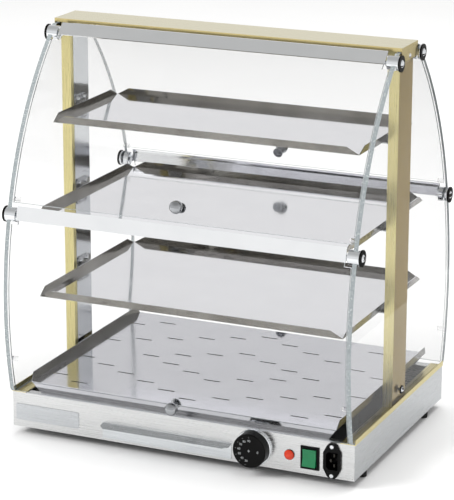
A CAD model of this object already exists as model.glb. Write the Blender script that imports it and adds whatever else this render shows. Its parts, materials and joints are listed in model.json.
import json
import math

import bpy
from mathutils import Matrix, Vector


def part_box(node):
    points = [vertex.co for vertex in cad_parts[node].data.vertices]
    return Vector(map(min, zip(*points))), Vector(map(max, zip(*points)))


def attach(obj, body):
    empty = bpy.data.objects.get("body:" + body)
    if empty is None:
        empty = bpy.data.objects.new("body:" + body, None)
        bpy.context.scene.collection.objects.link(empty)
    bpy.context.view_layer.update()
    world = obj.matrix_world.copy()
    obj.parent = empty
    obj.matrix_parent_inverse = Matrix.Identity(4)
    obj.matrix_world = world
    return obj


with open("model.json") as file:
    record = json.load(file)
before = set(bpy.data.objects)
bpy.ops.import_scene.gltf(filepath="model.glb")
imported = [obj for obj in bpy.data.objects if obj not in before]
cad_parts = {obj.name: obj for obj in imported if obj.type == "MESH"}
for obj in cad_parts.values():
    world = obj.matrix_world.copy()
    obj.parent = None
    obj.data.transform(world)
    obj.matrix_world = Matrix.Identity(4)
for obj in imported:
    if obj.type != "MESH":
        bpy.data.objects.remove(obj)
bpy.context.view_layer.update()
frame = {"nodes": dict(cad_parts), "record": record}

nodes = frame["nodes"]


# Colour and nodes

def srgb(code):
    """Linear colour of an sRGB hex value."""
    channels = [int(code[i:i + 2], 16) / 255 for i in (1, 3, 5)]
    linear = [c / 12.92 if c <= 0.04045 else ((c + 0.055) / 1.055) ** 2.4 for c in channels]
    return (*linear, 1.0)


def add(tree, kind, settings=None, links=None):
    """Adds a node, sets its sockets and properties, and links sockets of other nodes into it."""
    made = tree.nodes.new(kind)
    for key, value in (settings or {}).items():
        if key in made.inputs or isinstance(key, int):
            made.inputs[key].default_value = value
        else:
            setattr(made, key, value)
    for key, source in (links or {}).items():
        tree.links.new(source, made.inputs[key])
    return made


def start(name, **sockets):
    """A material with its Principled shader and the Object coordinates of the piece."""
    mat = bpy.data.materials.new(name)
    mat.use_nodes = True
    tree = mat.node_tree
    tree.nodes.clear()
    shader = add(tree, "ShaderNodeBsdfPrincipled", sockets)
    out = add(tree, "ShaderNodeOutputMaterial", links={"Surface": shader.outputs[0]})
    place = add(tree, "ShaderNodeTexCoord")
    return mat, tree, shader, out, place


def grain(tree, place, scale, detail=3.0):
    """Noise with a scale per axis, in cycles per metre."""
    mapped = add(tree, "ShaderNodeMapping", {"Scale": scale}, {"Vector": place.outputs["Object"]})
    settings = {"Scale": 1.0, "Detail": detail, "Roughness": 0.6}
    return add(tree, "ShaderNodeTexNoise", settings, {"Vector": mapped.outputs[0]}).outputs[0]


def two_tone(tree, shader, pattern, dark, pale, low=0.0, high=1.0):
    """Runs the base colour from dark to pale as the pattern rises from low to high."""
    ramp = add(tree, "ShaderNodeValToRGB", links={"Fac": pattern})
    for stop, place, code in zip(ramp.color_ramp.elements, (low, high), (dark, pale)):
        stop.position = place
        stop.color = srgb(code)
    tree.links.new(ramp.outputs[0], shader.inputs["Base Color"])


def uneven(tree, shader, pattern, low, high):
    """Runs the roughness from low to high over the middle of the pattern."""
    settings = {"From Min": 0.3, "From Max": 0.7, "To Min": low, "To Max": high}
    spread = add(tree, "ShaderNodeMapRange", settings, {"Value": pattern})
    tree.links.new(spread.outputs[0], shader.inputs["Roughness"])


def relief(tree, shader, pattern, strength, depth):
    """Raises the pattern by a depth in metres."""
    settings = {"Strength": strength, "Distance": depth}
    bump = add(tree, "ShaderNodeBump", settings, {"Height": pattern})
    tree.links.new(bump.outputs[0], shader.inputs["Normal"])


def brushed(name, pale, dark, rough, scratches):
    """Brushed metal. Fine straight scratches widen a highlight across the grain."""
    mat, tree, shader, _, place = start(name, Metallic=1.0)
    lines = grain(tree, place, scratches)
    two_tone(tree, shader, lines, dark, pale, 0.3, 0.7)
    uneven(tree, shader, lines, rough - 0.07, rough + 0.07)
    relief(tree, shader, lines, 0.35, 0.00002)
    return mat


def polished(name, pale, dark, rough):
    """Polished metal. A mirror with faint cloudy wipe marks about 60 mm across."""
    mat, tree, shader, _, place = start(name, Metallic=1.0)
    clouds = grain(tree, place, (16, 16, 16), 2.0)
    two_tone(tree, shader, clouds, dark, pale)
    uneven(tree, shader, clouds, rough * 0.6, rough * 1.4)
    return mat


def moulded(name, code, rough):
    """Moulded plastic. Spark-eroded grain of about 1 mm gives broad soft highlights."""
    mat, tree, shader, _, place = start(name, IOR=1.5)
    shader.inputs["Base Color"].default_value = srgb(code)
    shader.inputs["Specular IOR Level"].default_value = 0.12
    specks = grain(tree, place, (900, 900, 900), 2.0)
    uneven(tree, shader, specks, rough - 0.06, rough + 0.06)
    relief(tree, shader, specks, 0.3, 0.00004)
    return mat


def clear_acrylic():
    """Cast acrylic sheet, clear and hardly mirroring. Its index is low to keep the gloss faint."""
    mat, tree, shader, out, place = start("cast_acrylic", IOR=1.12)
    shader.inputs["Transmission Weight"].default_value = 1.0
    shader.inputs["Base Color"].default_value = srgb("#F4F4F4")
    uneven(tree, shader, grain(tree, place, (12, 12, 12), 2.0), 0.0, 0.01)
    # Lamps shine through it without a shadow
    rays = add(tree, "ShaderNodeLightPath")
    clear = add(tree, "ShaderNodeBsdfTransparent")
    layers = {0: rays.outputs["Is Shadow Ray"], 1: shader.outputs[0], 2: clear.outputs[0]}
    face = add(tree, "ShaderNodeMixShader", links=layers)
    tree.links.new(face.outputs[0], out.inputs["Surface"])
    return mat


def acrylic_edge():
    """Sawn edge of the acrylic. It reads as a cool grey line with fine saw marks."""
    mat, tree, shader, _, place = start("acrylic_edge", IOR=1.49)
    shader.inputs["Transmission Weight"].default_value = 0.25
    saw = grain(tree, place, (500, 500, 500), 2.0)
    two_tone(tree, shader, saw, "#757E81", "#CBD2D4")
    uneven(tree, shader, saw, 0.12, 0.3)
    return mat


def tinted(name, code, deep, rough):
    """Tinted lens plastic. A little light goes in, which evens out its cloudy colour."""
    mat, tree, shader, _, place = start(name, IOR=1.5)
    shader.inputs["Transmission Weight"].default_value = 0.1
    shader.inputs["Roughness"].default_value = rough
    two_tone(tree, shader, grain(tree, place, (220, 220, 220), 2.0), deep, code)
    return mat


# Scratches along one axis, drawn 0.7 mm apart because real ones are too fine to show
ALONG_X = (18, 1400, 1400)
ALONG_Y = (1400, 18, 1400)
ALONG_Z = (1400, 1400, 18)

finishes = {
    "base_steel": brushed("brushed_stainless_base", "#D8D8D8", "#C4C5C5", 0.26, ALONG_X),
    "inner_steel": brushed("sooted_steel_inside", "#3C3D3E", "#2B2C2D", 0.55, ALONG_X),
    "drawer_steel": brushed("brushed_stainless_drawer", "#DDE0E2", "#C2C6C9", 0.22, ALONG_X),
    "tray_steel": polished("polished_stainless_tray", "#D6D6DB", "#CACBD0", 0.12),
    "shelf_steel": polished("mirror_stainless_shelf", "#F2F2F5", "#E8E8EC", 0.07),
    "liner_steel": polished("mirror_stainless_liner", "#D6D8DA", "#C8CBCD", 0.12),
    "hinge_steel": polished("polished_stainless_hinge", "#F4F5F6", "#E4E6E8", 0.14),
    "fixing_steel": brushed("turned_stainless_fixing", "#B9BBBD", "#9A9C9E", 0.25, (700, 700, 700)),
    "chrome": polished("bright_chrome", "#E3E5E7", "#D2D5D8", 0.06),
    "gold_aluminium": brushed("champagne_anodised_aluminium", "#DDD39F", "#CDC188", 0.3, ALONG_Z),
    "clear_acrylic": clear_acrylic(),
    "element_steel": brushed("heat_darkened_incoloy", "#4A4745", "#2E2C2B", 0.45, (400, 400, 400)),
    "black_plastic": moulded("black_nylon", "#030303", 0.42),
    "dial_plastic": moulded("black_phenolic_dial", "#020202", 0.4),
    "foot_plastic": moulded("black_nylon_foot", "#1A1A1A", 0.5),
    "red_lens": tinted("red_lamp_lens", "#E8451C", "#C42A0E", 0.2),
    "green_rocker": tinted("green_rocker_polycarbonate", "#07804C", "#056A40", 0.3),
    "blade_brass": polished("nickel_plated_brass", "#45433E", "#2E2C29", 0.3),
    "badge_metal": brushed("satin_aluminium_badge", "#C6C8CB", "#B5B8BA", 0.3, ALONG_X),
}
along_x_gold = brushed("champagne_anodised_long", "#DCD6BA", "#D0C9AA", 0.3, ALONG_X)
along_y_gold = brushed("champagne_anodised_deep", "#D9CD98", "#C6B981", 0.3, ALONG_Y)

for part in frame["record"]["subparts"]:
    node = nodes[part["node"]]
    node.data.materials.clear()
    node.data.materials.append(finishes[part["material_slot"]])
nodes["canopy"].data.materials[0] = along_x_gold
for side in ("left", "right"):
    nodes[f"side_channel_{side}"].data.materials[0] = along_y_gold


def second_finish(piece, finish, belongs):
    """Gives the faces of a CAD part that pass a test a second finish."""
    mesh = nodes[piece].data
    mesh.materials.append(finish)
    last = len(mesh.materials) - 1
    for face in mesh.polygons:
        if belongs(face):
            face.material_index = last


sawn_edge = acrylic_edge()
upstand = polished("mirror_stainless_upstand", "#A3A19C", "#5F5C57", 0.08)
shaded_flange = polished("shaded_stainless_flange", "#7A7872", "#3E3D39", 0.15)
shaded_gold = brushed("champagne_anodised_outside", "#A08A48", "#86703A", 0.36, ALONG_Z)
shaded_base = brushed("brushed_stainless_ends", "#C6C8CA", "#B4B7B9", 0.28, ALONG_Y)
lip_gold = brushed("champagne_anodised_lip", "#CDBE8B", "#BBAB76", 0.3, ALONG_X)
knob_chrome = polished("door_knob_chrome", "#B4B6B9", "#8C8E91", 0.08)


def upright(face):
    return abs(face.normal.z) < 0.9


def facing_end(face):
    return abs(face.normal.x) > 0.9


def facing_out(face):
    return face.normal.x * math.copysign(1, face.center.x) > 0.9


def sheet_edge(face):
    """Sides and lower edge of a curved door sheet, whose upper edge is in the hinge strip."""
    return abs(face.normal.x) > 0.5 or face.normal.z < -0.98


def flange_or_slot(face):
    """Slot walls and end flanges of the tray, but not its front and back flanges."""
    return abs(face.normal.z) < 0.95 and abs(face.center.y) < TRAY_HALF_Y - 0.004


TRAY_HALF_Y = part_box("tray")[1].y
for shelf in ("shelf_top", "shelf_middle", "shelf_bottom"):
    second_finish(shelf, upstand, upright)
for side in ("left", "right"):
    second_finish(f"end_panel_{side}", sawn_edge, lambda face: abs(face.normal.x) < 0.5)
    second_finish(f"post_{side}", shaded_gold, facing_out)
for door in ("front_upper", "front_lower", "rear_upper", "rear_lower"):
    second_finish(f"{door}_sheet", sawn_edge, sheet_edge)
    nodes[f"{door}_knob"].data.materials[0] = knob_chrome
second_finish("base_shell", shaded_base, facing_end)
second_finish("canopy", lip_gold, lambda face: abs(face.normal.z) < 0.7)
second_finish("tray", shaded_flange, flange_or_slot)


# Dial scale, a printed ring of numbers on the left of the face

NUMBERS_R = 0.0142
TICKS_R = 0.0192
FIRST_NUMBER_AT = 255
NUMBER_STEP = 27.5
PRINT_RISE = 0.00005


def printed(name, text, x, z, size):
    """Printed figures standing proud of the dial face, as a mesh."""
    bpy.ops.object.select_all(action="DESELECT")
    face_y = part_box("thermostat_knob")[0].y
    spot = (x, face_y - PRINT_RISE, z)
    bpy.ops.object.text_add(location=spot, rotation=(math.radians(90), 0, 0))
    made = bpy.context.object
    made.data.body = text
    made.data.size = size
    made.data.align_x = "CENTER"
    made.data.align_y = "CENTER"
    made.data.extrude = PRINT_RISE
    bpy.ops.object.convert(target="MESH")
    bpy.ops.object.transform_apply(location=True, rotation=True, scale=True)
    made = bpy.context.object
    made.name = name
    return made


def dial_scale():
    """Temperatures round the left of the dial, ticks outside them and a centre mark."""
    low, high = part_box("thermostat_knob")
    x, z = (low.x + high.x) / 2, (low.z + high.z) / 2
    marks = []
    for i, temp in enumerate(("30", "40", "50", "60", "70", "80", "90")):
        turn = math.radians(FIRST_NUMBER_AT - i * NUMBER_STEP)
        right, up = math.cos(turn), math.sin(turn)
        number_at = (x + NUMBERS_R * right, z + NUMBERS_R * up)
        tick_at = (x + TICKS_R * right, z + TICKS_R * up)
        marks.append(printed(f"dial_{temp}", temp, *number_at, 0.0042))
        marks.append(printed(f"tick_{temp}", "-", *tick_at, 0.004))
    marks.append(printed("dial_off", "0", x + 0.0125, z, 0.0046))
    marks.append(printed("dial_mark", "+", x, z, 0.0075))
    bpy.ops.object.select_all(action="DESELECT")
    for mark in marks:
        mark.select_set(True)
    bpy.context.view_layer.objects.active = marks[0]
    bpy.ops.object.join()
    scale = bpy.context.object
    scale.name = "dial_scale"
    scale.data.materials.clear()
    scale.data.materials.append(moulded("grey_dial_print", "#A9ABAC", 0.6))
    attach(scale, "thermostat_dial")


dial_scale()


# Floor, light and camera

def floor():
    """Pale paper that the case stands on."""
    bpy.ops.mesh.primitive_plane_add(size=12, location=(0, 0, 0))
    ground = bpy.context.object
    ground.name = "pale_floor"
    mat, tree, shader, _, place = start("pale_paper_sweep", Roughness=0.9)
    two_tone(tree, shader, grain(tree, place, (3, 3, 3), 2.0), "#FBFBFB", "#FFFFFF")
    ground.data.materials.append(mat)


def lamp(name, place, aim, size, power):
    """Soft box pointing at a spot."""
    data = bpy.data.lights.new(name, "AREA")
    data.shape = "RECTANGLE"
    data.size, data.size_y = size
    data.energy = power
    made = bpy.data.objects.new(name, data)
    made.location = place
    made.rotation_euler = (Vector(aim) - Vector(place)).to_track_quat("-Z", "Y").to_euler()
    made.visible_glossy = False
    made.visible_transmission = False
    bpy.context.collection.objects.link(made)


def light():
    """Sky that is white low down and greyer overhead, and two soft boxes."""
    world = bpy.data.worlds.new("studio")
    world.use_nodes = True
    tree = world.node_tree
    tree.nodes.clear()
    way = add(tree, "ShaderNodeTexCoord")
    split = add(tree, "ShaderNodeSeparateXYZ", links={0: way.outputs["Generated"]})
    ramp = add(tree, "ShaderNodeValToRGB", links={"Fac": split.outputs["Z"]})
    for stop, height, code in zip(ramp.color_ramp.elements, (0.3, 0.85), ("#FFFFFF", "#C6C6C5")):
        stop.position = height
        stop.color = srgb(code)
    sky = add(tree, "ShaderNodeBackground", {"Strength": 1.0}, {"Color": ramp.outputs[0]})
    add(tree, "ShaderNodeOutputWorld", links={"Surface": sky.outputs[0]})
    bpy.context.scene.world = world
    lamp("key", (-2.2, -2.4, 2.6), (0, 0, 0.25), (1.6, 1.6), 80)
    lamp("overhead", (0.3, 0.8, 3.2), (0, 0, 0), (2.4, 2.4), 60)


def flag():
    """Dark card at the right that only gloss sees, for the polished metal to mirror."""
    bpy.ops.object.select_all(action="DESELECT")
    upended = (0, math.radians(90), 0)
    bpy.ops.mesh.primitive_plane_add(size=1, location=(0.46, 0.9, 0.2), rotation=upended)
    card = bpy.context.object
    card.name = "dark_card"
    card.scale = (0.4, 2.0, 1.0)
    mat, tree, shader, _, place = start("dark_card_felt", Roughness=1.0)
    two_tone(tree, shader, grain(tree, place, (4, 4, 4), 2.0), "#2E2C2A", "#4A4744")
    card.data.materials.append(mat)
    card.visible_camera = False
    card.visible_diffuse = False
    card.visible_transmission = False
    card.visible_shadow = False


def camera():
    """Long lens at the front right, a little above the case."""
    data = bpy.data.cameras.new("camera")
    data.lens = 165.865
    data.sensor_width = 36
    data.sensor_fit = "AUTO"
    data.shift_x = 0.0026
    data.shift_y = -0.01585
    data.clip_end = 50
    made = bpy.data.objects.new("camera", data)
    made.location = (1.22541, -2.76046, 1.13958)
    made.rotation_euler = (1.28678, -0.00197, 0.42097)
    bpy.context.collection.objects.link(made)
    bpy.context.scene.camera = made


floor()
light()
flag()
camera()
bpy.context.scene.view_settings.view_transform = "Standard"
